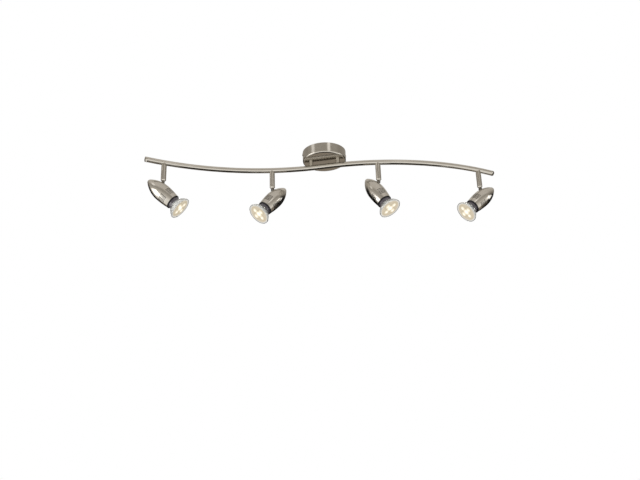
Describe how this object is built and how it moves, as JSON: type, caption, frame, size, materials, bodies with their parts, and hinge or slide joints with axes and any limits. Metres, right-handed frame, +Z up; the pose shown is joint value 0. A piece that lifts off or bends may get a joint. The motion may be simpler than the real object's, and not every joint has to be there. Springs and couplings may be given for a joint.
{
  "type": "ceiling spotlight bar",
  "caption": "S-shaped round tube under a drum ceiling canopy, carrying bullet-shaped spot heads that swivel and tilt on short stems, each with a twist-lock reflector lamp.",
  "frame": {"origin": "centre of the face of the ceiling strap and canopy rim that lies against the ceiling", "axes": "+Z up, into the ceiling; X along the chord of the bar; -Y towards the side that the heads lean to"},
  "size_m": [0.786, 0.1193, 0.1655],
  "materials": {
    "satin_nickel": "satin-brushed nickel plate on steel",
    "nickel_screw": "nickel plated, turned",
    "zinc_steel": "zinc plated",
    "white_nylon": "moulded",
    "brass": "drawn",
    "core_insulation": "extruded",
    "black_plastic": "moulded, matt",
    "white_ceramic": "fired, unglazed",
    "lamp_housing": "moulded, glossy",
    "lamp_glass": "pressed, dichroic coated",
    "lamp_lens": "moulded optic"
  },
  "bodies": {
    "fixed_bar": {"bar_nuts": "zinc_steel", "bar_tube": "satin_nickel", "canopy_cup": "satin_nickel", "canopy_screws": "nickel_screw", "ceiling_strap": "zinc_steel", "earth_screw": "zinc_steel", "end_cap_left": "satin_nickel", "end_cap_right": "satin_nickel", "post_left": "satin_nickel", "post_nipples": "zinc_steel", "post_nuts": "zinc_steel", "post_right": "satin_nickel", "post_washers": "zinc_steel", "saddles": "satin_nickel", "stem_nipples": "zinc_steel", "terminal_block": "white_nylon", "terminal_block_screws": "zinc_steel", "terminal_clamps": "brass", "terminal_screws": "zinc_steel", "wiring": "core_insulation"},
    "stem_1": {"stem_tube_1": "satin_nickel", "knuckle_1": "satin_nickel"},
    "head_1": {"pivot_screw_1": "nickel_screw", "holder_bracket_1": "zinc_steel", "shade_1": "satin_nickel", "mouth_collar_1": "black_plastic", "lampholder_1": "white_ceramic"},
    "lamp_1": {"lamp_body_1": "lamp_housing", "lamp_glass_1": "lamp_glass", "lamp_lens_1": "lamp_lens"},
    "stem_2": {"stem_tube_2": "satin_nickel", "knuckle_2": "satin_nickel"},
    "head_2": {"pivot_screw_2": "nickel_screw", "holder_bracket_2": "zinc_steel", "shade_2": "satin_nickel", "mouth_collar_2": "black_plastic", "lampholder_2": "white_ceramic"},
    "lamp_2": {"lamp_body_2": "lamp_housing", "lamp_glass_2": "lamp_glass", "lamp_lens_2": "lamp_lens"},
    "stem_3": {"stem_tube_3": "satin_nickel", "knuckle_3": "satin_nickel"},
    "head_3": {"pivot_screw_3": "nickel_screw", "holder_bracket_3": "zinc_steel", "shade_3": "satin_nickel", "mouth_collar_3": "black_plastic", "lampholder_3": "white_ceramic"},
    "lamp_3": {"lamp_body_3": "lamp_housing", "lamp_glass_3": "lamp_glass", "lamp_lens_3": "lamp_lens"},
    "stem_4": {"stem_tube_4": "satin_nickel", "knuckle_4": "satin_nickel"},
    "head_4": {"pivot_screw_4": "nickel_screw", "holder_bracket_4": "zinc_steel", "shade_4": "satin_nickel", "mouth_collar_4": "black_plastic", "lampholder_4": "white_ceramic"},
    "lamp_4": {"lamp_body_4": "lamp_housing", "lamp_glass_4": "lamp_glass", "lamp_lens_4": "lamp_lens"}
  },
  "joints": [
    {"name": "swivel_1", "type": "hinge", "parent": "fixed_bar", "child": "stem_1", "pos_m": [-0.351, 0.01344, -0.03475], "axis": [0, 0, 1], "range_deg": [-252.4, 87.6]},
    {"name": "tilt_1", "type": "hinge", "parent": "stem_1", "child": "head_1", "pos_m": [-0.351, 0.01344, -0.08175], "axis": [0.1323, 0.9912, 0], "range_deg": [-58.5, 21.5]},
    {"name": "lamp_twist_1", "type": "hinge", "parent": "head_1", "child": "lamp_1", "pos_m": [-0.36383, 0.01515, -0.09539], "axis": [0.719, -0.0959, -0.6884], "range_deg": [0, 25]},
    {"name": "swivel_2", "type": "hinge", "parent": "fixed_bar", "child": "stem_2", "pos_m": [-0.114, 0.03038, -0.03475], "axis": [0, 0, 1], "range_deg": [-99.6, 240.4]},
    {"name": "tilt_2", "type": "hinge", "parent": "stem_2", "child": "head_2", "pos_m": [-0.114, 0.03038, -0.08175], "axis": [0.3355, -0.9421, 0], "range_deg": [-63.1, 16.9]},
    {"name": "lamp_twist_2", "type": "hinge", "parent": "head_2", "child": "lamp_2", "pos_m": [-0.10082, 0.03507, -0.09431], "axis": [-0.6291, -0.224, -0.7443], "range_deg": [0, 25]},
    {"name": "swivel_3", "type": "hinge", "parent": "fixed_bar", "child": "stem_3", "pos_m": [0.114, -0.03038, -0.03475], "axis": [0, 0, 1], "range_deg": [-222.1, 117.9]},
    {"name": "tilt_3", "type": "hinge", "parent": "stem_3", "child": "head_3", "pos_m": [0.114, -0.03038, -0.08175], "axis": [0.6143, 0.7891, 0], "range_deg": [-72.5, 7.5]},
    {"name": "lamp_twist_3", "type": "hinge", "parent": "head_3", "child": "lamp_3", "pos_m": [0.10149, -0.02064, -0.09185], "axis": [0.424, -0.3301, -0.8434], "range_deg": [0, 25]},
    {"name": "swivel_4", "type": "hinge", "parent": "fixed_bar", "child": "stem_4", "pos_m": [0.351, -0.01344, -0.03475], "axis": [0, 0, 1], "range_deg": [-87.3, 252.7]},
    {"name": "tilt_4", "type": "hinge", "parent": "stem_4", "child": "head_4", "pos_m": [0.351, -0.01344, -0.08175], "axis": [0.1271, -0.9919, 0], "range_deg": [-56.5, 23.5]},
    {"name": "lamp_twist_4", "type": "hinge", "parent": "head_4", "child": "lamp_4", "pos_m": [0.36336, -0.01185, -0.09583], "axis": [-0.7429, -0.0952, -0.6626], "range_deg": [0, 25]}
  ]
}
